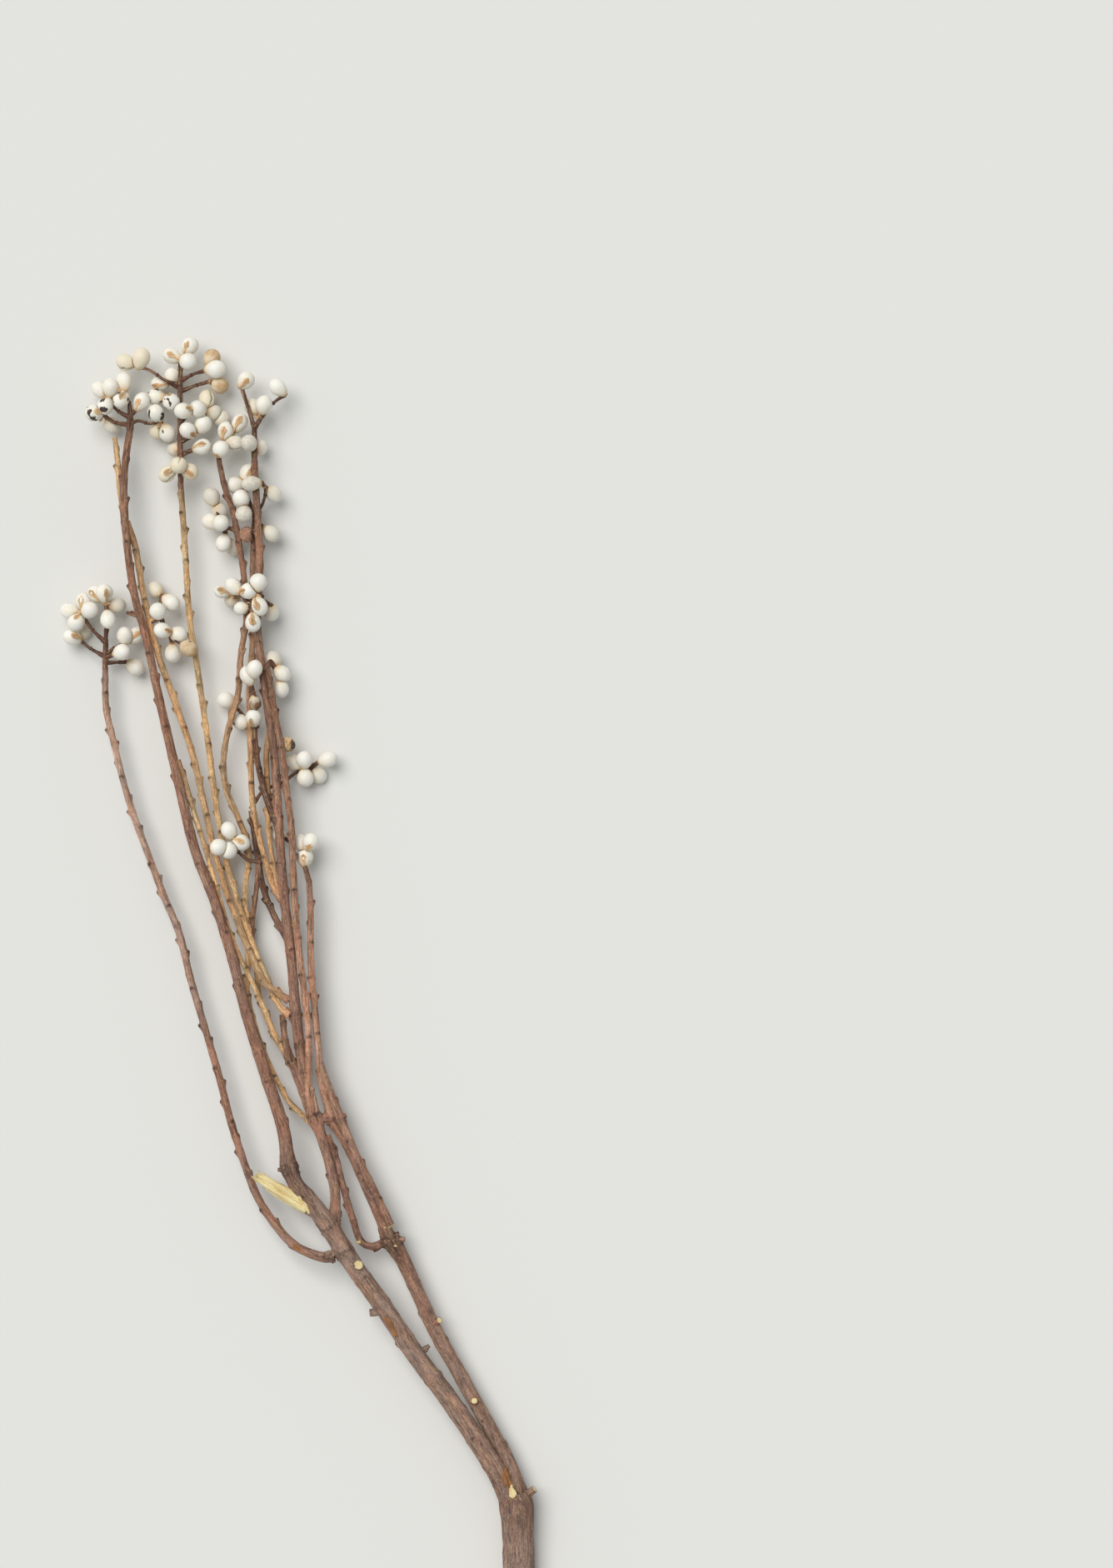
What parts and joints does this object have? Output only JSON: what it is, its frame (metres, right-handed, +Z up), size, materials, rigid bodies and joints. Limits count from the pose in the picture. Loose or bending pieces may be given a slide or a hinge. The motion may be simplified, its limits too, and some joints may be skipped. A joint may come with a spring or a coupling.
{
  "type": "dried tallow berry stem",
  "caption": "Long dried woody stem, cut and lying flat, that forks into thin scarred twigs with sprays of white waxy berries at their tips.",
  "frame": {"origin": "on the surface that the stem lies on, under the middle of its box", "axes": "+Y along the stem from the cut trunk to the berry sprays, +Z up from the surface, +X to the trunk's side"},
  "size_m": [0.2079, 0.6015, 0.0219],
  "materials": {
    "bark": "dry bark, ridged and matt",
    "seed_wax": "waxy, satin"
  },
  "bodies": {
    "root": {"woody_stem": "bark", "spray_01": "seed_wax", "spray_02": "seed_wax", "spray_03": "seed_wax", "spray_04": "seed_wax", "spray_05": "seed_wax", "spray_06": "seed_wax", "spray_07": "seed_wax", "spray_08": "seed_wax", "spray_09": "seed_wax", "spray_10": "seed_wax", "spray_11": "seed_wax", "spray_12": "seed_wax", "spray_13": "seed_wax", "spray_14": "seed_wax"}
  },
  "joints": []
}
